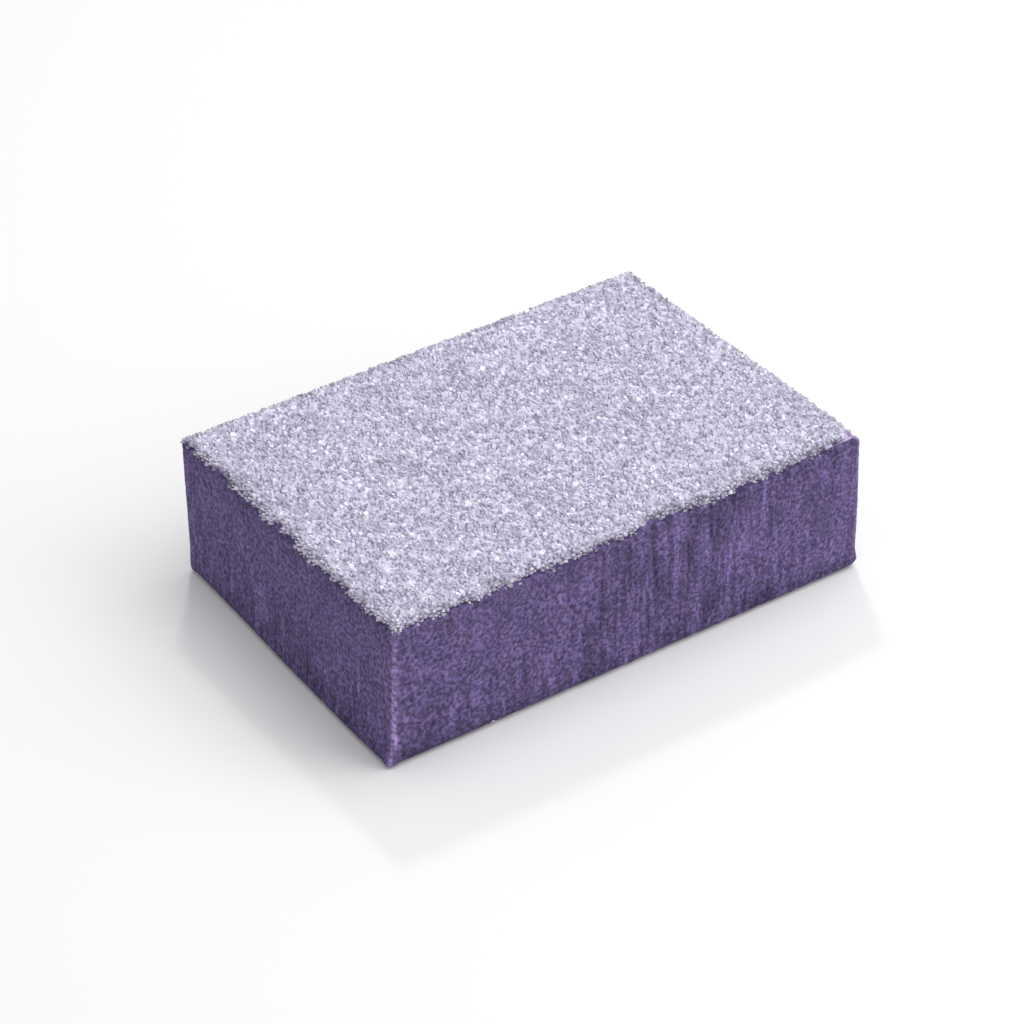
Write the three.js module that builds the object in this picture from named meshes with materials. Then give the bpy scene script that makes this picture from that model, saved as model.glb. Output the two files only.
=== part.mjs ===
// Small two-sided sanding block: a soft closed-cell foam core with an abrasive coating on both large faces.
// Millimetres, +Z up, +X along the block's length. The origin is the centre of the underside.
//
// Every piece is a stack of outlines. An outline is the block's plan, a rectangle with round corners, drawn
// smaller by an inset. A profile lists [inset, height] pairs from the first outline to the last, and the two
// end outlines are closed flat. Two pieces that touch share the same outlines, so they meet face to face.
import * as THREE from 'three';

// Driving dimensions.
const blockLength = 35;
const blockWidth = 24.5;
const blockHeight = 10.5;
const gritThickness = 0.3; // one layer of abrasive grains locked in resin
const bondThickness = 0.1; // the resin film that sticks the grains to the foam
const uprightEdgeRadius = 0.4; // the four upright edges of the foam
const rimRadius = 0.85; // each coating curls over the edge of the foam with this radius
const upperWrap = THREE.MathUtils.degToRad(50); // how far round that curl the upper coating reaches
const lowerWrap = THREE.MathUtils.degToRad(38); // and the lower one
const shoulderSlenderness = 3; // below the curl, the foam's shoulder is this many times taller than deep

// Fineness of the facets.
const cornerSteps = 4;
const rimSteps = 5;
const shoulderSteps = 3;
const sharpestCorner = 0.05;

const coatThickness = gritThickness + bondThickness;
const rimCentreHeight = blockHeight - rimRadius;

// The block's plan, drawn smaller by the inset, as points running anticlockwise seen from above.
function outline(inset, height) {
  const radius = Math.max(uprightEdgeRadius - inset, sharpestCorner);
  const alongX = blockLength / 2 - inset - radius;
  const alongY = blockWidth / 2 - inset - radius;
  const corners = [[alongX, alongY], [-alongX, alongY], [-alongX, -alongY], [alongX, -alongY]];
  const points = [];
  corners.forEach(([x, y], quarter) => {
    for (let step = 0; step <= cornerSteps; step += 1) {
      const angle = (quarter + step / cornerSteps) * Math.PI / 2;
      points.push([x + radius * Math.cos(angle), y + radius * Math.sin(angle), height]);
    }
  });
  return points;
}

// A closed body through the outlines of a profile. Each sloping strip is split along the same diagonal
// whichever way the profile runs, so that neighbours which share a strip share its triangles too.
function stackedBody(profile) {
  const positions = [];
  const triangle = (a, b, c) => positions.push(...a, ...b, ...c);
  const rings = profile.map(([inset, height]) => outline(inset, height));
  const count = rings[0].length;

  for (let level = 0; level + 1 < rings.length; level += 1) {
    const [near, far] = [rings[level], rings[level + 1]];
    const rising = profile[level + 1][1] > profile[level][1];
    for (let here = 0; here < count; here += 1) {
      const next = (here + 1) % count;
      if (rising) {
        triangle(near[here], near[next], far[next]);
        triangle(near[here], far[next], far[here]);
      } else {
        triangle(near[here], near[next], far[here]);
        triangle(near[next], far[next], far[here]);
      }
    }
  }

  const closeEnd = (ring, height, facesUp) => {
    const middle = [0, 0, height];
    for (let here = 0; here < count; here += 1) {
      const next = (here + 1) % count;
      if (facesUp) triangle(middle, ring[here], ring[next]);
      else triangle(middle, ring[next], ring[here]);
    }
  };
  closeEnd(rings[0], profile[0][1], false);
  closeEnd(rings.at(-1), profile.at(-1)[1], true);

  const geometry = new THREE.BufferGeometry();
  geometry.setAttribute('position', new THREE.Float32BufferAttribute(positions, 3));
  geometry.computeVertexNormals();
  return geometry;
}

// The curl over the upper edge, at a depth below the grains' surface, from the flat top outwards and down.
function curl(depth, wrap) {
  const radius = rimRadius - depth;
  const profile = [];
  for (let step = 0; step <= rimSteps; step += 1) {
    const angle = wrap * step / rimSteps;
    profile.push([rimRadius - radius * Math.sin(angle), rimCentreHeight + radius * Math.cos(angle)]);
  }
  return profile;
}

// The foam from its flat side up to the flat under the coating. A parabolic shoulder leaves the flat side
// smoothly and meets the coating's end flush, and from there the foam follows that end inwards.
function foamRim(wrap) {
  const coatingEnd = [0, gritThickness, coatThickness].map((depth) => curl(depth, wrap).at(-1));
  const [flushInset, flushHeight] = coatingEnd[0];
  const shoulderHeight = shoulderSlenderness * flushInset;
  const shoulder = [];
  for (let step = 0; step < shoulderSteps; step += 1) {
    const along = step / shoulderSteps;
    shoulder.push([flushInset * along ** 2, flushHeight - shoulderHeight * (1 - along)]);
  }
  return [...shoulder, ...coatingEnd, ...curl(coatThickness, wrap).slice(0, -1).reverse()];
}

// A profile turned upside down about the block's mid-height. It is also reversed, so that it still runs
// from its lower end to its upper end.
function upsideDown(profile) {
  return profile.map(([inset, height]) => [inset, blockHeight - height]).reverse();
}

// A coating: its inner surface outwards and down the curl, then its outer surface back up.
function coating(innerDepth, outerDepth, wrap) {
  return [...curl(innerDepth, wrap), ...curl(outerDepth, wrap).reverse()];
}

const foam = { color: 0x6a5890, roughness: 0.95, metalness: 0 };
const resin = { color: 0xb4acc6, roughness: 0.5, metalness: 0 };
const grit = { color: 0xcdc9de, roughness: 0.6, metalness: 0 };

function piece(name, profile, finish) {
  const mesh = new THREE.Mesh(stackedBody(profile), new THREE.MeshStandardMaterial(finish));
  mesh.name = name;
  return mesh;
}

const block = new THREE.Group();
block.add(piece('foam_core', [...upsideDown(foamRim(lowerWrap)), ...foamRim(upperWrap)], foam));
block.add(piece('top_bond_coat', coating(coatThickness, gritThickness, upperWrap), resin));
block.add(piece('top_grit_coat', coating(gritThickness, 0, upperWrap), grit));
block.add(piece('bottom_bond_coat', upsideDown(coating(coatThickness, gritThickness, lowerWrap)), resin));
block.add(piece('bottom_grit_coat', upsideDown(coating(gritThickness, 0, lowerWrap)), grit));

export default block;
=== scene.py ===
import math

import bpy
import numpy as np
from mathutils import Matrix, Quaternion, Vector, geometry, noise


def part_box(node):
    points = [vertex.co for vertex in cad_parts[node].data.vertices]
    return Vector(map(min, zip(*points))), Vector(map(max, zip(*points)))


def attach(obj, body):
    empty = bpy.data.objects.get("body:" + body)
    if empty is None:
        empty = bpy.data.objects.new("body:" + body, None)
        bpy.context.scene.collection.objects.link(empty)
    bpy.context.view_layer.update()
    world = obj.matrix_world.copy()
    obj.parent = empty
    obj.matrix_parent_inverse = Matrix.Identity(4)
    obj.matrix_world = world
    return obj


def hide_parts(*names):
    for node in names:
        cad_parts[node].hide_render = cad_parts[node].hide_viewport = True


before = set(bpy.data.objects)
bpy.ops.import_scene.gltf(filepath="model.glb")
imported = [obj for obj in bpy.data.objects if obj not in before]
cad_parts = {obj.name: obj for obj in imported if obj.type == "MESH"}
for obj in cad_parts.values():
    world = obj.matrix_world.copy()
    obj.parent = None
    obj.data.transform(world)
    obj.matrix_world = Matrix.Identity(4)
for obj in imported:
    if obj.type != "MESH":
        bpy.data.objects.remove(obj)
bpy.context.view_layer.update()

# Looks for a small foam sanding block: a knife-cut foam core with a coat of abrasive grains above and below.
# Lengths are millimetres until place() turns them into metres. +Z is up, +X runs along the block to the
# right, and -Y is the front. In "face space" z is 0 at the tips of the grains and negative inside the block.
# Each coat is built on a flat "sheet" whose x and y are distances along the face from its centre, and
# curl() then rolls the sheet's border over the edge of the block.
MM = 0.001


# ---- Sizes taken from the frame ------------------------------------------------------------------------

def box_mm(node):
    low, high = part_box(node)
    return np.array(low) / MM, np.array(high) / MM


CORE_LOW, CORE_HIGH = box_mm("foam_core")
FILM_HIGH = box_mm("top_bond_coat")[1]
GRIT_HIGH = box_mm("top_grit_coat")[1]
LENGTH, WIDTH = (CORE_HIGH - CORE_LOW)[:2]
HEIGHT = GRIT_HIGH[2]
GRIT_THICKNESS = GRIT_HIGH[2] - FILM_HIGH[2]
FILM_THICKNESS = FILM_HIGH[2] - CORE_HIGH[2]
COAT_THICKNESS = GRIT_THICKNESS + FILM_THICKNESS


def wrap_angle(side):
    """How far round the edge a coat reaches. Its two layers end on one radius of the curl."""
    film_end = box_mm(side + "_bond_coat")[1][0]
    grit_end = box_mm(side + "_grit_coat")[1][0]
    return math.asin((grit_end - film_end) / GRIT_THICKNESS)


WRAP = {side: wrap_angle(side) for side in ("top", "bottom")}
RIM_RADIUS = (LENGTH / 2 - GRIT_HIGH[0]) / (1 - math.sin(WRAP["top"]))
FLAT_HALF = np.array([LENGTH, WIDTH]) / 2 - RIM_RADIUS


# ---- Sizes chosen to match the photograph --------------------------------------------------------------

CORNER_POWER = 5  # how square the block's corners are in plan: 2 would be a quarter circle
EDGE_POWER = 2.2  # the same for the rolled edge, seen from its end, along the sides
EXTRA_POWER = 0.9  # and how much squarer that edge is at the four corners
LOWER_POWER = 2.6  # the foam's lower edge is squarer, and more so at the corners
LOWER_CORNER_GAIN = 1.5

GRAIN_SPACING = 0.285
GRAIN_SHAKE = 0.46  # how far a grain may stray from its place in even rows, in spacings
GRAINS_MISSING = 0.05  # the share of those places with no grain
TOP_SIZE = (0.5, 1.0)  # the size of a grain's top, as a share of the room it has
TOP_UNEVENNESS = 0.15
TOP_SLOPE = 0.42
TONE_SPREAD = 0.14  # how much the faces of one grain differ in tone
LEAST_TOP_DEPTH = 0.01  # the tops of the grains lie this deep under the face, or deeper by up to the range
TOP_DEPTH_RANGE = 0.15
TOP_DEPTH_SHAPE = (1.8, 2.4)  # the two numbers of a beta distribution, for how they are spread over the range
LEAST_GAP_DEPTH = 0.08
GAP_DEPTH_RANGE = 0.24
GAP_DEPTH_SHAPE = (1.3, 1.6)
SHADED_GAPS = (0.1, 0.34)  # gaps get darker from the first of these depths to the second: painted shade between the grains
BURIED_DEPTH = COAT_THICKNESS + 0.08  # a missing grain lies this deep, inside the foam
BURIED_GAP_DEPTH = BURIED_DEPTH + 0.03

SPARSE_BAND = 0.75  # the strip along a coat's edge where the gaps are deeper and some grains partly sunk
DEEPER_GAPS = 0.08
PARTLY_SUNK_SHARE = 0.16
PARTLY_SUNK = 0.6
RAGGEDNESS = 0.09  # how far single grains stand out of the edge, or are missing from it
EDGE_FALL = (-0.04, 0.06)  # grains sink out of sight between these two distances past the edge
# How far in from a coat's edge its grey resin and painted shade reach.
STAIN_AND_SHADE_WIDTH = 1.15
EDGE_WANDER = 0.58  # how far a coat's edge strays from a straight line
UPPER_REACH = 0.27  # how much further the upper coat reaches round the edge than its CAD node
FRONT_SLANT = 0.13  # its edge is this much lower at the left end of the front, and higher at the right
LEFT_BOW = 0.3  # and it bows down by this much on the left side
BOW_MIDDLE = -WIDTH * 0.2
BOW_WIDTH = WIDTH * 0.22
OVER_THE_EDGE = 0.2  # a point this far past the flat counts as wholly on that side

# Where the upper coat has lost its grains: the middle of each bare patch on the sheet, and its radius.
BARE_PATCHES = (
    ((LENGTH / 2 - 0.35, -WIDTH / 2 + 0.45), 0.75),  # the front right corner
    ((-LENGTH / 2 - 0.05, 0.9), 0.42),  # a tear on the left side
    ((-5.2, 2.1), 0.16),  # a pit in the face
)

FOAM_STEP = 0.122  # the size of the faces of the foam's mesh
CORNER_STEPS = 14
WAVE_HEIGHT = 0.05
GROOVE_DEPTH = 0.015  # of the knife's grooves where they are faint
EXTRA_GROOVE_DEPTH = 0.045  # and how much deeper they get
GROOVES_START = (-8, 3)  # along the block, between these two places
NARROW_SHARE = 0.7  # how deep the narrow grooves are next to the wide ones
PORE_DEPTH = 0.045
FINE_HEIGHT = 0.014
CHIP_DEPTH = 0.3
CHIP_RADIUS = 0.8
LINES_START = (-8, 1)  # along the block, the knife's dark lines grow stronger between these two places
LINES_FADE = (8, 14)  # and weaker again between these

# How far the cut sides stand out or in where they do so most.
EVEN_LEAN = 0.38  # the share of this that grows evenly from top to bottom. The rest is a flare at the foot
FLARE_HEIGHT = 1.8
RIGHT_FOOT_OUT = 0.5
RIGHT_TOP_IN = 0.13
LEFT_FOOT_OUT = 0.10
FRONT_LEFT_FOOT_OUT = 0.47
BACK_LEFT_IN = 0.2
FRONT_LEFT_FOOT_BACK = 0.2

FILM_STEP = 0.25
FILM_LUMPS = 0.03
FLOOR_HALF = 2000

NOISE_STRIDE = (17.3, -9.1, 5.7)  # each seed reads the noise this much further on
CELLS_STRIDE = (3.9, 11.7, -7.3)
TINY = 1e-9


# ---- Shared geometry -----------------------------------------------------------------------------------

def smooth(start, end, value):
    """0 at the start, 1 at the end, level beyond them and a soft step between. It may run downwards."""
    t = np.clip((value - start) / (end - start), 0, 1)
    return t * t * (3 - 2 * t)


def noise_points(points, size, seed, stride):
    """The points in units of the size, moved on by the seed so that each seed reads another place."""
    offset = Vector([seed * step for step in stride])
    scaled = np.asarray(points, float) / np.asarray(size, float)
    return [Vector(p) + offset for p in scaled]


def noise_at(points, size, seed):
    """Smooth noise from -1 to 1 at each point, with lumps of about this size along each axis."""
    return np.array([noise.noise(p) for p in noise_points(points, size, seed, NOISE_STRIDE)])


def cells_at(points, size, seed):
    """Distance from each point to the nearest of many scattered spots, in units of their spacing."""
    return np.array([noise.voronoi(p)[0][0] for p in noise_points(points, size, seed, CELLS_STRIDE)])


def sheet_noise(sheet, size, seed):
    return noise_at(np.column_stack([sheet, np.zeros(len(sheet))]), size, seed)


def past_flat(sheet):
    """For points of a sheet: the nearest point of the flat, and the direction and distance from it."""
    flat = np.clip(sheet, -FLAT_HALF, FLAT_HALF)
    excess = sheet - flat
    distance = (np.abs(excess) ** CORNER_POWER).sum(axis=1) ** (1 / CORNER_POWER)
    outward = excess / np.maximum(distance, TINY)[:, None]
    return flat, outward, distance


def rim_power(outward):
    """How square the rolled edge is for each direction outwards. At a corner both parts of it are large."""
    well_round_the_corner = 0.7
    return EDGE_POWER + EXTRA_POWER * smooth(0, well_round_the_corner, np.abs(outward).min(axis=1))


def roll(radius, angle, power):
    """A point of the rolled edge: its reach past the flat, and its height over the middle of the roll."""
    return radius * np.sin(angle) ** (2 / power), radius * np.cos(angle) ** (2 / power)


def curl(sheet, depth):
    """Rolls a sheet over the rim, at a depth under the grains' tips. The result is in face space."""
    flat, outward, distance = past_flat(sheet)
    angle = np.minimum(distance / RIM_RADIUS, math.pi / 2)
    reach, height = roll(RIM_RADIUS - depth, angle, rim_power(outward))
    return np.column_stack([flat + outward * reach[:, None], height - RIM_RADIUS])


def quads_between(here, ahead):
    """Four-sided faces between two grids of point numbers, the second one step along from the first."""
    corners = [here[:-1], ahead[:-1], ahead[1:], here[1:]]
    return np.stack(corners, axis=-1).reshape(-1, 4).tolist()


def border_loop(faces):
    """The points round the open border of a patch of faces, in order."""
    edges = {pair for face in faces for pair in zip(face, face[1:] + face[:1])}
    following = {here: there for here, there in edges if (there, here) not in edges}
    start = min(following)
    loop = [start]
    while following[loop[-1]] != start:
        loop.append(following[loop[-1]])
    return loop


def place(name, points, faces, side="top"):
    """Makes a mesh object from millimetre points in face space, and puts it on the upper or lower face."""
    points = np.array(points, float)
    if side == "top":
        points[:, 2] += HEIGHT
    else:
        points[:, 2] *= -1
        faces = [face[::-1] for face in faces]
    mesh = bpy.data.meshes.new(name)
    mesh.from_pydata((points * MM).tolist(), [], faces)
    mesh.update()
    piece = bpy.data.objects.new(name, mesh)
    bpy.context.scene.collection.objects.link(piece)
    return piece


def mark(piece, name, values, domain):
    """Keeps one number for each face or point, for the materials to read."""
    attribute = piece.data.attributes.new(name, "FLOAT", domain)
    attribute.data.foreach_set("value", np.asarray(values, np.float32))


# ---- The abrasive coats --------------------------------------------------------------------------------

def loose_centres(rng, half):
    """Grain centres over a sheet of this half size: shaken rows with a few grains missing."""
    margin = 2 * GRAIN_SPACING
    row_step = GRAIN_SPACING * math.sqrt(3) / 2
    rows = int(2 * (half[1] + margin) / row_step)
    columns = int(2 * (half[0] + margin) / GRAIN_SPACING)
    row, column = np.mgrid[0:rows, 0:columns]
    x = (column + 0.5 * (row % 2)) * GRAIN_SPACING - half[0] - margin
    y = row * row_step - half[1] - margin
    centres = np.column_stack([x.ravel(), y.ravel()])
    centres += rng.uniform(-GRAIN_SHAKE, GRAIN_SHAKE, centres.shape) * GRAIN_SPACING
    return centres[rng.random(len(centres)) > GRAINS_MISSING]


def scatter_grains(rng):
    """Grain centres, the three grains round each gap, the gaps, and the gaps round each inner grain."""
    just_past_upright = math.radians(95)
    half = FLAT_HALF + RIM_RADIUS * just_past_upright
    loose = [Vector(centre) for centre in loose_centres(rng, half)]
    same_point = 1e-7
    points, _, trios, *_ = geometry.delaunay_2d_cdt(loose, [], [], 0, same_point)
    centres, trios = np.array(points), np.array(trios)
    gaps = centres[trios].mean(axis=1)
    around = [[] for _ in centres]
    for gap, trio in enumerate(trios.tolist()):
        for grain in trio:
            around[grain].append(gap)
    cells = {}
    for grain in np.flatnonzero((np.abs(centres) < half).all(axis=1)).tolist():
        away = gaps[around[grain]] - centres[grain]
        order = np.argsort(np.arctan2(away[:, 1], away[:, 0]))
        cells[grain] = [around[grain][k] for k in order]
    return centres, trios, gaps, cells


def past_edge(sheet, side, seed):
    """How far each point is past the edge of a coat, which wanders. It is below 0 inside the coat."""
    slow_wander = sheet_noise(sheet, size=1.6, seed=seed)
    quick_wander = sheet_noise(sheet, size=0.7, seed=seed + 1)
    reach = RIM_RADIUS * WRAP[side] + EDGE_WANDER * (slow_wander + quick_wander)
    if side == "top":
        on_left, on_front = smooth(-FLAT_HALF, -FLAT_HALF - OVER_THE_EDGE, sheet).T
        reach += UPPER_REACH
        reach -= FRONT_SLANT * on_front * sheet[:, 0] / FLAT_HALF[0]
        reach += LEFT_BOW * on_left * np.exp(-((sheet[:, 1] - BOW_MIDDLE) / BOW_WIDTH) ** 2)
    inside = np.maximum((FLAT_HALF - np.abs(sheet)).min(axis=1), 0)
    return past_flat(sheet)[2] - inside - reach


def bare_patches(sheet):
    """1 in the bare patches of the upper coat, and 0 elsewhere."""
    softness = 0.2
    lost = np.zeros(len(sheet))
    for middle, radius in BARE_PATCHES:
        away = np.hypot(*(sheet - middle).T)
        lost = np.maximum(lost, 1 - smooth((1 - softness) * radius, (1 + softness) * radius, away))
    return lost


def grain_depths(rng, side, seed, centres, trios):
    """How deep the tops and gaps lie, and how far each grain has sunk out of sight, from 0 to 1."""
    count = len(centres)
    beyond = past_edge(centres, side, seed)
    near_edge = smooth(-SPARSE_BAND, 0, beyond)
    sunk = smooth(*EDGE_FALL, beyond + rng.normal(0, RAGGEDNESS, count))
    partly_sunk = rng.random(count) < PARTLY_SUNK_SHARE * near_edge
    sunk = np.maximum(sunk, PARTLY_SUNK * partly_sunk)
    if side == "top":
        sunk = np.maximum(sunk, bare_patches(centres))
    top_depth = LEAST_TOP_DEPTH + TOP_DEPTH_RANGE * rng.beta(*TOP_DEPTH_SHAPE, count)
    top_depth += (BURIED_DEPTH - top_depth) * sunk
    gap_depth = LEAST_GAP_DEPTH + GAP_DEPTH_RANGE * rng.beta(*GAP_DEPTH_SHAPE, len(trios))
    gap_depth += DEEPER_GAPS * near_edge[trios].mean(axis=1)
    gap_depth += (BURIED_GAP_DEPTH - gap_depth) * sunk[trios].mean(axis=1)
    return top_depth, gap_depth, sunk


def grain_top(rng, ring, depth, sunk):
    """The few corners of one grain's tilted top, from its centre, and their depths. The ring is its gaps."""
    sides = len(ring)
    corners = max(3, (sides + 1) // 2)
    edge_middles = (ring + np.roll(ring, -1, axis=0)) / 2
    owner = np.arange(sides) * corners // sides
    away = np.array([edge_middles[owner == corner].mean(axis=0) for corner in range(corners)])
    away *= rng.uniform(*TOP_SIZE) + rng.uniform(-TOP_UNEVENNESS, TOP_UNEVENNESS, (corners, 1))
    slope = rng.normal(0, TOP_SLOPE, 2) * (1 - sunk)
    return away, np.maximum(depth + away @ slope, 0)


def grain_faces(cell, top):
    """One grain: its top, and a band of triangles from the top's few corners down to the gaps all round."""
    sides, corners = len(cell), len(top)
    faces = [top]
    for k in range(sides):
        n = (k + 1) % sides
        here, there = k * corners // sides, n * corners // sides
        faces.append([cell[k], cell[n], top[here]])
        if there != here:
            faces.append([cell[n], top[there], top[here]])
    return faces


def close_underneath(points, sheet, faces):
    """Closes a coat's skin: a strip in from its border to the flat, and a flat fan at the film's depth."""
    loop = border_loop(faces)
    ring = np.column_stack([past_flat(sheet[loop])[0], np.full(len(loop), -GRIT_THICKNESS)])
    start = len(points)
    middle = start + len(ring)
    closing = []
    for k, here in enumerate(loop):
        n = (k + 1) % len(loop)
        closing += [
            [loop[n], here, start + k],
            [loop[n], start + k, start + n],
            [start + n, start + k, middle],
        ]
    return np.concatenate([points, ring, [[0, 0, -GRIT_THICKNESS]]]), closing


def rim_stain_and_shade(sheet, side, seed):
    """How dark the coat is near its edge, from 0 to 1: a little everywhere, and more in patches. It stands
    for grey resin at the cut edge together with painted shade on the grains that turn over the edge, away
    from the light above.
    """
    least = 0.35
    patches = smooth(-0.35, 0.3, sheet_noise(sheet, size=1.1, seed=seed + 2))
    return (least + (1 - least) * patches) * smooth(-STAIN_AND_SHADE_WIDTH, 0, past_edge(sheet, side, seed))


def grit_coat(side, seed):
    """One layer of angular grains. Each has a tilted top, and sides that slope to the gaps that it shares."""
    rng = np.random.default_rng(seed)
    centres, trios, gaps, cells = scatter_grains(rng)
    top_depth, gap_depth, sunk = grain_depths(rng, side, seed, centres, trios)
    sheet, depth, faces, tone, gloss = [gaps], [gap_depth], [], [], []
    next_point = len(gaps)
    for grain, cell in cells.items():
        away, depths = grain_top(rng, gaps[cell] - centres[grain], top_depth[grain], sunk[grain])
        sheet.append(centres[grain] + away)
        depth.append(depths)
        made = grain_faces(cell, list(range(next_point, next_point + len(away))))
        next_point += len(away)
        faces += made
        tone += np.clip(rng.random() + rng.normal(0, TONE_SPREAD, len(made)), 0, 1).tolist()
        gloss += rng.random(len(made)).tolist()
    sheet = np.concatenate(sheet)
    points, closing = close_underneath(curl(sheet, np.concatenate(depth)), sheet, faces)
    faces += closing

    used = np.unique(np.concatenate(faces))
    renumber = np.zeros(len(points), int)
    renumber[used] = np.arange(len(used))
    piece = place(side + "_grit_layer", points[used], [renumber[face].tolist() for face in faces], side)
    middle_tone = 0.5
    mark(piece, "tone", tone + [middle_tone] * len(closing), "FACE")
    mark(piece, "gloss", gloss + [0] * len(closing), "FACE")
    gap_shade, on_rim = np.zeros((2, len(points)))
    # Painted shade: the deeper a gap between grains, the darker its colour.
    gap_shade[:len(gaps)] = smooth(*SHADED_GAPS, gap_depth)
    # Grey resin at the coat's cut edge, and painted shade where the coat turns over the edge.
    on_rim[:len(sheet)] = rim_stain_and_shade(sheet, side, seed)
    mark(piece, "gap", gap_shade[used], "POINT")
    mark(piece, "rim", on_rim[used], "POINT")
    return piece


def resin_film(side, seed):
    """The resin under the grains, a thin skin with soft lumps. It shows where grains are missing."""
    half = FLAT_HALF + RIM_RADIUS * WRAP[side]
    columns, rows = np.ceil(2 * half / FILM_STEP).astype(int) + 1
    along_x = np.linspace(-half[0], half[0], columns)
    along_y = np.linspace(-half[1], half[1], rows)
    grid_y, grid_x = np.meshgrid(along_y, along_x, indexing="ij")
    sheet = np.column_stack([grid_x.ravel(), grid_y.ravel()])
    outer = curl(sheet, GRIT_THICKNESS + FILM_LUMPS * sheet_noise(sheet, size=0.6, seed=seed))
    inner = curl(sheet, COAT_THICKNESS)
    number = np.arange(rows * columns).reshape(rows, columns)
    faces = quads_between(number[:, :-1], number[:, 1:])
    under = [[a + len(sheet) for a in face[::-1]] for face in faces]
    loop = border_loop(faces)
    wall = []
    for k, here in enumerate(loop):
        there = loop[(k + 1) % len(loop)]
        wall.append([there, here, here + len(sheet), there + len(sheet)])
    return place(side + "_resin_film", np.concatenate([outer, inner]), faces + under + wall, side)


# ---- The foam core -------------------------------------------------------------------------------------

def round_the_block():
    """Columns round the block: where each stands on the flat's border, its outward direction and normal."""
    corners = FLAT_HALF * np.array([[1, 1], [-1, 1], [-1, -1], [1, -1]])
    sides = np.array([[0, 1], [-1, 0], [0, -1], [1, 0]])
    bases, outwards = [], []
    for quarter in range(4):
        here, there = corners[quarter], corners[(quarter + 1) % 4]
        turn = (quarter + np.arange(CORNER_STEPS) / CORNER_STEPS) * math.pi / 2
        circle = np.column_stack([np.cos(turn), np.sin(turn)])
        bases.append(np.repeat(here[None], CORNER_STEPS, axis=0))
        outwards.append(np.sign(circle) * np.abs(circle) ** (2 / CORNER_POWER))
        steps = int(np.linalg.norm(there - here) / FOAM_STEP)
        bases.append(here + (there - here) * (np.arange(steps)[:, None] / steps))
        outwards.append(np.repeat(sides[quarter][None], steps, axis=0))
    bases, outwards = np.concatenate(bases), np.concatenate(outwards)
    normals = np.sign(outwards) * np.abs(outwards) ** (CORNER_POWER - 1)
    return bases, outwards, normals / np.linalg.norm(normals, axis=1)[:, None]


def foam_rim(side, power, free_from, free_to):
    """The foam's rolled edge, from the flat outwards: reach past the flat, depth, and how free its skin is.

    Under the coat it isn't free, and it comes free between two angles, in degrees past the coat's end.
    """
    angles = np.concatenate([[0, 12], np.arange(20, 90, 7.5)])[:, None]
    wrap = math.degrees(WRAP[side])
    free = smooth(wrap + free_from, wrap + free_to, angles)
    radius = RIM_RADIUS - COAT_THICKNESS * (1 - free)
    reach, height = roll(radius, np.radians(angles), power)
    return np.stack([reach, RIM_RADIUS - height, np.broadcast_to(free, reach.shape)], axis=-1)


def foam_levels(power):
    """Each level and column from the underside up: reach past the flat, height, and how free the skin is."""
    squarer = LOWER_POWER + LOWER_CORNER_GAIN * (power - power.min())
    lower = foam_rim("bottom", squarer, free_from=-28, free_to=16)
    upper = foam_rim("top", power, free_from=2, free_to=40)[::-1]
    upper[..., 1] = HEIGHT - upper[..., 1]
    rise = HEIGHT - 2 * RIM_RADIUS
    steps = int(rise / FOAM_STEP)
    straight = np.ones((steps + 1, len(power), 3))
    straight[..., 0] = RIM_RADIUS
    straight[..., 1] = RIM_RADIUS + rise * np.arange(steps + 1)[:, None] / steps
    return np.concatenate([lower, straight, upper])


def foam_relief(points):
    """How far the cut face stands out: slow waves, upright knife grooves, pores, fine grain and one chip."""
    waves = WAVE_HEIGHT * noise_at(points, size=6.0, seed=1)
    dragged = smooth(-0.4, 0.3, noise_at(points, size=(7, 7, 14), seed=2))
    grooved = smooth(*GROOVES_START, points[:, 0]) * dragged
    wide_grooves = noise_at(points, size=(0.42, 0.42, 6), seed=3)
    narrow_grooves = noise_at(points, size=(0.24, 0.24, 3), seed=4)
    grooves = wide_grooves + NARROW_SHARE * narrow_grooves
    pores = 1 - smooth(0.12, 0.42, cells_at(points, size=(0.4, 0.4, 0.48), seed=5))
    open_skin = smooth(-0.3, 0.3, noise_at(points, size=1.6, seed=7))
    fine = noise_at(points, size=0.16, seed=6)
    front_right_foot = np.array([LENGTH / 2, -WIDTH / 2, 0])
    from_foot = np.linalg.norm(points - front_right_foot, axis=1)
    chip = CHIP_DEPTH * (1 - smooth(CHIP_RADIUS / 4, CHIP_RADIUS, from_foot))
    groove_depth = GROOVE_DEPTH + EXTRA_GROOVE_DEPTH * grooved
    return waves - chip + groove_depth * grooves - PORE_DEPTH * pores * open_skin + FINE_HEIGHT * fine


def lean(points, free):
    """How far the cut sides stand out near the underside: the left side flares most, towards the front."""
    x, y, z = points.T
    to_left = 0.5 - x / LENGTH
    to_front = 0.5 - y / WIDTH
    low = EVEN_LEAN * (1 - z / HEIGHT) + (1 - EVEN_LEAN) * (1 - smooth(0, FLARE_HEIGHT, z))
    near_front = 0.8
    left_foot_out = LEFT_FOOT_OUT + FRONT_LEFT_FOOT_OUT * smooth(0, near_front, to_front)
    shift = np.zeros_like(points)
    shift[:, 0] = (RIGHT_FOOT_OUT * low - RIGHT_TOP_IN) * (1 - to_left) * to_front
    shift[:, 0] -= low * left_foot_out * to_left
    shift[:, 0] += BACK_LEFT_IN * to_left * (1 - to_front)
    shift[:, 1] = FRONT_LEFT_FOOT_BACK * low * to_left * to_front
    return shift * free[:, None]


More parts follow.
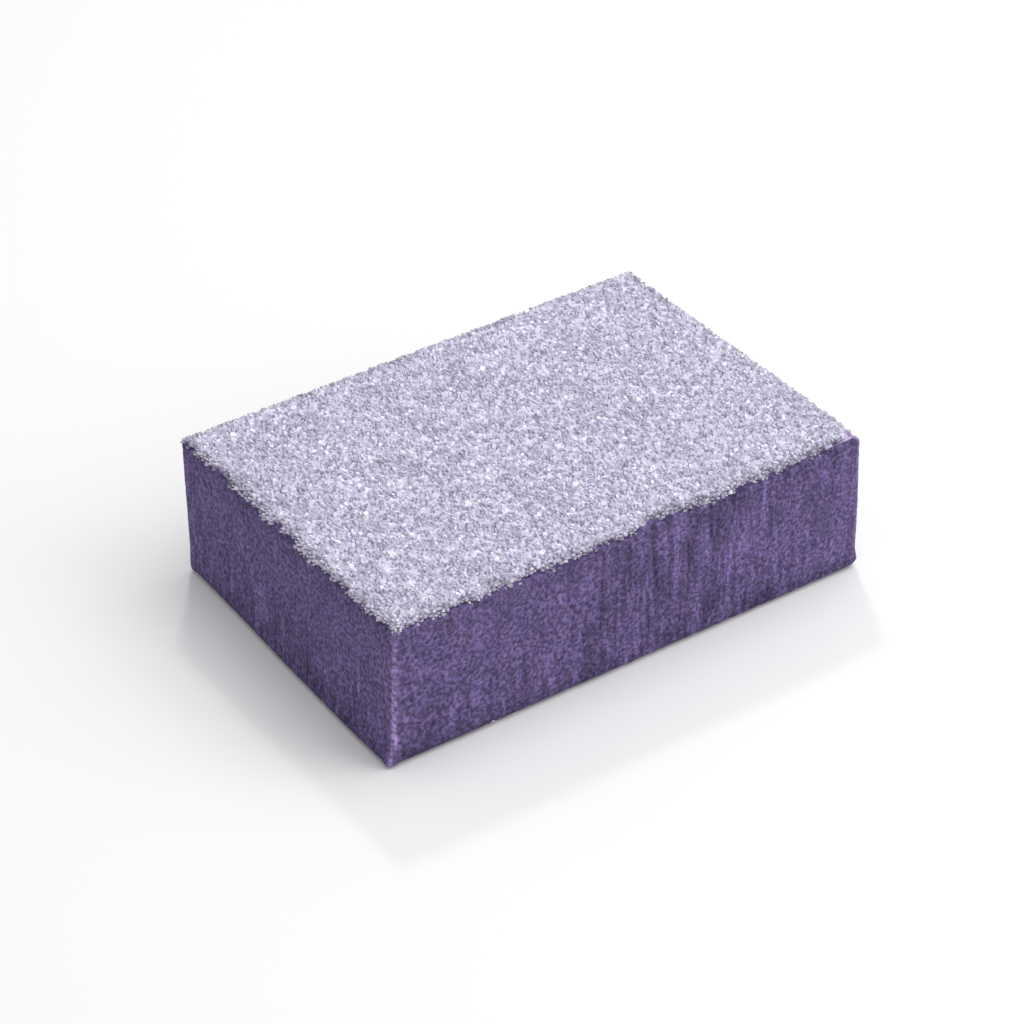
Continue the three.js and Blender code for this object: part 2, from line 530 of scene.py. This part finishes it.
def mark_foam(piece, points, corner):
    """Where the foam is paler along its upright edges, lined by the knife, and darker low down and high up.
    The darkening low down and high up is painted shade, near the floor and under the coat's overhanging edge.
    """
    x, z = points[:, 0], points[:, 2]
    height = z + HEIGHT
    faint = 0.12
    loss_at_end = 0.65
    most_near_foot = 0.6
    along = smooth(*LINES_START, x) * (1 - loss_at_end * smooth(*LINES_FADE, x))
    near_foot = most_near_foot * (1 - smooth(2, 6, height))
    # Paler along the upright edges.
    mark(piece, "pale_upright_edge", smooth(0.02, 0.5, corner), "POINT")
    mark(piece, "lined", faint + (1 - faint) * np.maximum(along, near_foot), "POINT")
    # Painted shade: darker low down, where the floor shades the foam.
    mark(piece, "low", 1 - smooth(-0.3, 2.6, height), "POINT")
    # Painted shade: darker just under the coat, in the shadow of its overhanging edge.
    mark(piece, "high", smooth(-2.4, -0.7, z), "POINT")


def foam_core():
    """The core as one closed skin: rows of points round the block, closed by a fan above and below."""
    bases, outwards, normals = round_the_block()
    levels = foam_levels(rim_power(outwards))
    rows, columns = levels.shape[:2]
    plan = bases + outwards * levels[..., :1]
    points = np.concatenate([plan, levels[..., 1:2]], axis=2).reshape(-1, 3)
    free = levels[..., 2].ravel()
    relief = foam_relief(points) * free
    points += lean(points, free)
    points[:, :2] += np.tile(normals, (rows, 1)) * relief[:, None]

    number = np.arange(rows * columns).reshape(rows, columns)
    faces = quads_between(number, np.roll(number, -1, axis=1))
    bottom, top = len(points), len(points) + 1
    points = np.concatenate([points, [[0, 0, levels[0, 0, 1]], [0, 0, levels[-1, 0, 1]]]])
    for k in range(columns):
        n = (k + 1) % columns
        faces.append([int(number[0, n]), int(number[0, k]), bottom])
        faces.append([int(number[-1, k]), int(number[-1, n]), top])

    points[:, 2] -= HEIGHT
    piece = place("foam_body", points, faces)
    corner = np.abs(normals).min(axis=1)
    mark_foam(piece, points, np.append(np.tile(corner, rows), [0, 0]))
    piece.data.shade_smooth()
    return piece


# ---- Materials -----------------------------------------------------------------------------------------

class Look:
    """A material made from nodes. Most methods add a node and return its output, for the next to take."""

    def __init__(self, name):
        self.material = bpy.data.materials.new(name)
        self.material.use_nodes = True
        self.nodes = self.material.node_tree.nodes
        self.shader = self.nodes["Principled BSDF"]

    def feed(self, target, value):
        """Links an output to a socket, or sets a plain number or colour on it."""
        if isinstance(value, bpy.types.NodeSocket):
            self.material.node_tree.links.new(value, target)
        else:
            target.default_value = (*value, 1) if isinstance(value, tuple) else value

    def surface(self, socket, value):
        self.feed(self.shader.inputs[socket], value)

    def millimetres(self, upright_stretch=1):
        """Object coordinates in millimetres, with the heights divided by the stretch."""
        coordinates = self.nodes.new("ShaderNodeTexCoord")
        mapping = self.nodes.new("ShaderNodeMapping")
        mapping.inputs["Scale"].default_value = (1 / MM, 1 / MM, 1 / MM / upright_stretch)
        self.feed(mapping.inputs["Vector"], coordinates.outputs["Object"])
        return mapping.outputs["Vector"]

    def noise(self, vector, scale, detail, roughness=0.5):
        node = self.nodes.new("ShaderNodeTexNoise")
        node.inputs["Scale"].default_value = scale
        node.inputs["Detail"].default_value = detail
        node.inputs["Roughness"].default_value = roughness
        self.feed(node.inputs["Vector"], vector)
        return node.outputs["Fac"]

    def cells(self, vector, scale):
        node = self.nodes.new("ShaderNodeTexVoronoi")
        node.inputs["Scale"].default_value = scale
        self.feed(node.inputs["Vector"], vector)
        return node.outputs["Distance"]

    def ramp(self, value, *stops):
        """A colour ramp. Each stop is a position and a colour, or a position and a shade of grey."""
        node = self.nodes.new("ShaderNodeValToRGB")
        elements = node.color_ramp.elements
        while len(elements) < len(stops):
            elements.new(0.5)
        for element, (position, colour) in zip(elements, stops):
            element.position = position
            element.color = (*colour, 1) if isinstance(colour, tuple) else (colour, colour, colour, 1)
        self.feed(node.inputs["Fac"], value)
        return node.outputs["Color"]

    def mix(self, first, second, amount, blend="MIX"):
        node = self.nodes.new("ShaderNodeMix")
        node.data_type = "RGBA"
        node.blend_type = blend
        sockets = {socket.name: socket for socket in node.inputs if socket.enabled}
        self.feed(sockets["Factor"], amount)
        self.feed(sockets["A"], first)
        self.feed(sockets["B"], second)
        return next(socket for socket in node.outputs if socket.enabled)

    def shade(self, colour, by, amount=1.0):
        """The colour multiplied by another, wholly or by this amount."""
        return self.mix(colour, by, amount, "MULTIPLY")

    def maths(self, operation, first, second):
        node = self.nodes.new("ShaderNodeMath")
        node.operation = operation
        self.feed(node.inputs[0], first)
        self.feed(node.inputs[1], second)
        return node.outputs["Value"]

    def marked(self, name):
        """Reads the numbers that mark() kept on the mesh."""
        node = self.nodes.new("ShaderNodeAttribute")
        node.attribute_name = name
        return node.outputs["Fac"]

    def bump(self, height, distance, strength):
        node = self.nodes.new("ShaderNodeBump")
        node.inputs["Strength"].default_value = strength
        node.inputs["Distance"].default_value = distance * MM
        self.feed(node.inputs["Height"], height)
        self.surface("Normal", node.outputs["Normal"])


def foam_colour(look, plain):
    """Purple with a slow mottle, paler along the upright edges, and upright lines where the knife left them.
    """
    upright = look.millimetres(upright_stretch=9)
    mottle = look.noise(plain, scale=0.85, detail=3)
    broad_lines = look.noise(upright, scale=0.95, detail=2)
    fine_lines = look.noise(upright, scale=2.2, detail=2, roughness=0.6)
    deep_purple = (0.102, 0.075, 0.186)
    purple = (0.115, 0.083, 0.203)
    light_purple = (0.130, 0.091, 0.216)
    pale_edge_lilac = (0.27, 0.195, 0.40)
    colour = look.ramp(mottle, (0.34, deep_purple), (0.5, purple), (0.66, light_purple))
    # Paler along the upright edges.
    colour = look.mix(colour, pale_edge_lilac, look.maths("MULTIPLY", look.marked("pale_upright_edge"), 0.8))
    broad = look.ramp(broad_lines, (0.36, 0.70), (0.5, 1.0), (0.64, 1.18))
    fine = look.ramp(fine_lines, (0.34, 0.6), (0.5, 1.0), (0.66, 1.36))
    lined = look.shade(colour, look.shade(broad, fine))
    return look.mix(colour, lined, look.marked("lined"))


def foam_material():
    """Closed-cell foam: dark pores between pale cell walls, darker near the underside and under the coat. All
    three darkenings are painted shade: in the pits, near the floor, and under the coat's overhanging edge.
    """
    look = Look("foam")
    plain = look.millimetres()
    walls = look.noise(plain, scale=4.4, detail=1)
    pits = look.cells(plain, scale=2.9)
    patches = look.noise(plain, scale=0.7, detail=1)
    wall_shade = look.ramp(walls, (0.34, 0.58), (0.5, 1.0), (0.66, 1.66))
    # Painted shade: the pits of the foam's pores are darkened.
    painted_pit_shade = look.ramp(pits, (0.12, 0.5), (0.38, 0.96), (0.7, 1.24))
    pit_amount = look.ramp(patches, (0.36, 0.3), (0.56, 0.9))
    colour = look.shade(foam_colour(look, plain), wall_shade, 0.85)
    colour = look.shade(colour, painted_pit_shade, pit_amount)
    # Painted shade near the underside, where the floor shades the foam.
    colour = look.shade(colour, look.ramp(look.marked("low"), (0.0, 1.0), (1.0, 0.7)))
    # Painted shade under the coat's overhanging edge.
    colour = look.shade(colour, look.ramp(look.marked("high"), (0.0, 1.0), (1.0, 0.86)))
    look.surface("Base Color", colour)
    look.surface("Roughness", 0.9)
    look.surface("Specular IOR Level", 0.25)
    look.bump(look.maths("ADD", walls, pits), distance=0.07, strength=0.5)
    return look.material


def grit_material():
    """Pale lilac-grey mineral: each grain has its own tone, and some facets are glossy enough to glint. Its
    colour also holds painted shade, in the gaps between grains and, with grey resin, along the coat's edge.
    """
    look = Look("abrasive_grit")
    plain = look.millimetres()
    cloud = look.noise(plain, scale=0.3, detail=2)
    speck = look.noise(plain, scale=7.0, detail=2)
    grey_lilac = (0.47, 0.445, 0.58)
    lilac = (0.63, 0.60, 0.755)
    pale_lilac = (0.69, 0.66, 0.81)
    near_white = (0.88, 0.87, 0.97)
    gap_shade_grey = (0.30, 0.28, 0.40)
    clean = (1, 1, 1)
    stained_and_shaded = (0.56, 0.56, 0.55)
    tones = (0.0, grey_lilac), (0.5, lilac), (0.88, pale_lilac), (1.0, near_white)
    colour = look.ramp(look.marked("tone"), *tones)
    colour = look.shade(colour, look.ramp(cloud, (0.3, 0.95), (0.7, 1.04)))
    colour = look.shade(colour, look.ramp(speck, (0.35, 0.82), (0.65, 1.12)), 0.8)
    # Painted shade: the gaps between grains are greyed, more so the deeper they are.
    colour = look.mix(colour, gap_shade_grey, look.maths("MULTIPLY", look.marked("gap"), 0.75))
    # The rim is darkened: grey resin at the cut edge, and painted shade where the coat turns over the edge.
    colour = look.shade(colour, look.ramp(look.marked("rim"), (0.0, clean), (1.0, stained_and_shaded)))
    look.surface("Base Color", colour)
    look.surface("Roughness", look.ramp(look.marked("gloss"), (0.0, 0.6), (0.8, 0.45), (1.0, 0.12)))
    look.surface("IOR", 1.76)
    look.bump(speck, distance=0.03, strength=0.4)
    return look.material


def resin_material():
    """The lilac resin film, satin, with soft cloudy tone."""
    look = Look("bond_resin")
    cloud = look.noise(look.millimetres(), scale=1.4, detail=3)
    dark_resin = (0.36, 0.29, 0.50)
    pale_resin = (0.52, 0.44, 0.66)
    look.surface("Base Color", look.ramp(cloud, (0.3, dark_resin), (0.7, pale_resin)))
    look.surface("Roughness", 0.45)
    look.bump(cloud, distance=0.05, strength=0.4)
    return look.material


# ---- Assembly ------------------------------------------------------------------------------------------

def adopt(piece, node, material):
    """A finished piece takes the place of the CAD node, moves with the block and wears its material."""
    piece.data.materials.append(material)
    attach(piece, "root")
    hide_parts(node)


def build_block():
    foam, grit, resin = foam_material(), grit_material(), resin_material()
    core = foam_core()
    adopt(core, "foam_core", foam)
    for seed, side in ((11, "top"), (29, "bottom")):
        adopt(resin_film(side, seed), side + "_bond_coat", resin)
        adopt(grit_coat(side, seed), side + "_grit_coat", grit)


# ---- Stage, light and camera ---------------------------------------------------------------------------

def direction(azimuth, elevation):
    """From the block towards a camera or light. The angles are in degrees, and azimuth 0 is the front."""
    a, e = math.radians(azimuth), math.radians(elevation)
    return Vector((math.sin(a) * math.cos(e), -math.cos(a) * math.cos(e), math.sin(e)))


def build_floor():
    corners = [[x * FLOOR_HALF, y * FLOOR_HALF, -HEIGHT] for x, y in ((-1, -1), (1, -1), (1, 1), (-1, 1))]
    floor = place("floor", corners, [[0, 1, 2, 3]])
    look = Look("pale_floor")
    look.surface("Base Color", (0.9, 0.9, 0.9))
    look.surface("Roughness", 0.9)
    floor.data.materials.append(look.material)


def area_light(name, azimuth, elevation, distance, size, watts):
    """A square softbox aimed at the block. The distance and the size are in millimetres."""
    back = direction(azimuth, elevation)
    data = bpy.data.lights.new(name, "AREA")
    data.size = size * MM
    data.energy = watts
    light = bpy.data.objects.new(name, data)
    light.location = back * distance * MM
    light.rotation_mode = "QUATERNION"
    light.rotation_quaternion = back.to_track_quat("Z", "Y")
    bpy.context.scene.collection.objects.link(light)


def build_light():
    world = bpy.data.worlds.new("studio")
    world.use_nodes = True
    background = world.node_tree.nodes["Background"]
    background.inputs["Color"].default_value = (1, 1, 1, 1)
    background.inputs["Strength"].default_value = 0.55
    bpy.context.scene.world = world
    area_light("key", azimuth=60, elevation=72, distance=300, size=260, watts=0.42)
    area_light("glint", azimuth=150, elevation=52, distance=300, size=26, watts=0.13)
    area_light("fill", azimuth=42, elevation=35, distance=220, size=150, watts=0.128)


def build_camera():
    """The photograph's viewing angle, from the left front and looking down, with its slight tilt."""
    back = direction(azimuth=-34.69, elevation=35.37)
    tilt = math.radians(-0.38)
    aim = Vector((-0.67, 0.03, 4.74)) * MM
    distance = 213.8 * MM
    data = bpy.data.cameras.new("camera")
    data.sensor_width = 36
    data.lens = 119.3
    data.clip_start = 0.01
    camera = bpy.data.objects.new("camera", data)
    camera.location = aim + back * distance
    camera.rotation_mode = "QUATERNION"
    camera.rotation_quaternion = back.to_track_quat("Z", "Y") @ Quaternion((0, 0, 1), tilt)
    bpy.context.scene.collection.objects.link(camera)
    bpy.context.scene.camera = camera


build_camera()
build_block()
build_floor()
build_light()
bpy.context.scene.view_settings.view_transform = "Standard"
